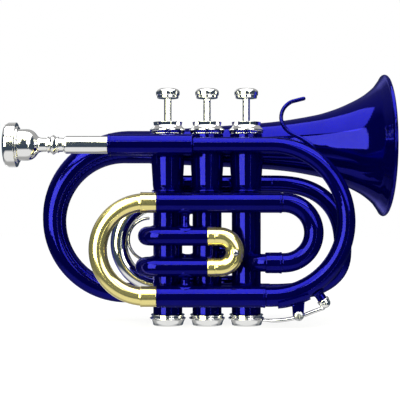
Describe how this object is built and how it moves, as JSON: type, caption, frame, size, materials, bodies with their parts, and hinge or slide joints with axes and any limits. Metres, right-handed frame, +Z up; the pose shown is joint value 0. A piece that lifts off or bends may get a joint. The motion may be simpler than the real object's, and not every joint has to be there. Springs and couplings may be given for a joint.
{
  "type": "pocket trumpet",
  "caption": "Pocket trumpet with piston valves, wrapped tubing, sliding crooks, finger hook, water key and flared bell",
  "frame": {"origin": "centre of the flat underside of the second valve's bottom cap, on which the trumpet stands", "axes": "+X the way the bell faces, along the leadpipe; +Z up along the valves, towards the finger buttons; -Y is the side of the leadpipe and +Y the side of the bell"},
  "size_m": [0.2447, 0.1054, 0.1633],
  "materials": {
    "blue_lacquer": "gloss",
    "silver_plate": "polished",
    "gold_brass": "polished",
    "steel": "satin",
    "cork": "matt"
  },
  "bodies": {
    "body": {"valve_casing_1": "blue_lacquer", "valve_casing_2": "blue_lacquer", "valve_casing_3": "blue_lacquer", "top_cap_1": "silver_plate", "top_cap_2": "silver_plate", "top_cap_3": "silver_plate", "bottom_cap_1": "silver_plate", "bottom_cap_2": "silver_plate", "bottom_cap_3": "silver_plate", "valve_spring_1": "steel", "valve_spring_2": "steel", "valve_spring_3": "steel", "mouthpiece_receiver": "blue_lacquer", "leadpipe": "blue_lacquer", "leadpipe_bow": "blue_lacquer", "lower_slide_sleeve": "blue_lacquer", "upper_slide_sleeve": "blue_lacquer", "entry_bow": "blue_lacquer", "entry_elbow": "blue_lacquer", "first_sleeve_upper": "blue_lacquer", "first_sleeve_lower": "blue_lacquer", "second_sleeve_upper": "blue_lacquer", "second_sleeve_lower": "blue_lacquer", "third_sleeve_upper": "blue_lacquer", "third_sleeve_lower": "blue_lacquer", "exit_tube": "blue_lacquer", "far_bow": "blue_lacquer", "bell_bow": "blue_lacquer", "bell": "blue_lacquer", "bell_brace_1": "blue_lacquer", "bell_brace_3": "blue_lacquer", "valve_port_1_2": "blue_lacquer", "valve_port_2_3": "blue_lacquer", "near_brace_upper": "blue_lacquer", "near_brace_lower": "blue_lacquer", "finger_hook": "blue_lacquer", "water_key_nipple": "blue_lacquer", "water_key_bracket": "blue_lacquer", "water_key_screw": "steel"},
    "valve_1": {"piston_1": "steel", "valve_stem_1": "silver_plate", "finger_button_1": "silver_plate"},
    "valve_2": {"piston_2": "steel", "valve_stem_2": "silver_plate", "finger_button_2": "silver_plate"},
    "valve_3": {"piston_3": "steel", "valve_stem_3": "silver_plate", "finger_button_3": "silver_plate"},
    "mouthpiece": {"mouthpiece": "silver_plate"},
    "tuning_slide": {"tuning_crook": "gold_brass"},
    "first_slide": {"first_crook": "gold_brass", "first_slide_knob": "silver_plate"},
    "second_slide": {"second_crook": "gold_brass"},
    "third_slide": {"third_crook": "silver_plate", "third_finger_ring": "silver_plate"},
    "water_key": {"water_key_lever": "silver_plate", "water_key_pad": "cork"}
  },
  "joints": [
    {"name": "valve_1_press", "type": "slide", "parent": "body", "child": "valve_1", "axis": [0, 0, -1], "range_m": [0, 0.014], "stiffness_N_per_m": 120, "springref_m": -0.02, "deforming": ["valve_spring_1"]},
    {"name": "valve_2_press", "type": "slide", "parent": "body", "child": "valve_2", "axis": [0, 0, -1], "range_m": [0, 0.014], "stiffness_N_per_m": 120, "springref_m": -0.02, "deforming": ["valve_spring_2"]},
    {"name": "valve_3_press", "type": "slide", "parent": "body", "child": "valve_3", "axis": [0, 0, -1], "range_m": [0, 0.014], "stiffness_N_per_m": 120, "springref_m": -0.02, "deforming": ["valve_spring_3"]},
    {"name": "mouthpiece_pull", "type": "slide", "parent": "body", "child": "mouthpiece", "axis": [-1, 0, 0], "range_m": [0, 0.02]},
    {"name": "tuning_slide_pull", "type": "slide", "parent": "body", "child": "tuning_slide", "axis": [-1, 0, 0], "range_m": [0, 0.025]},
    {"name": "first_slide_pull", "type": "slide", "parent": "body", "child": "first_slide", "axis": [1, 0, 0], "range_m": [0, 0.004]},
    {"name": "second_slide_pull", "type": "slide", "parent": "body", "child": "second_slide", "axis": [0, 1, 0], "range_m": [0, 0.008]},
    {"name": "third_slide_pull", "type": "slide", "parent": "body", "child": "third_slide", "axis": [-1, 0, 0], "range_m": [0, 0.018]},
    {"name": "water_key_open", "type": "hinge", "parent": "body", "child": "water_key", "pos_m": [0.0566, -0.0176, 0.0082], "axis": [0, 1, 0], "range_deg": [0, 15], "stiffness_Nm_per_rad": 0.03, "springref_deg": -22.92}
  ]
}
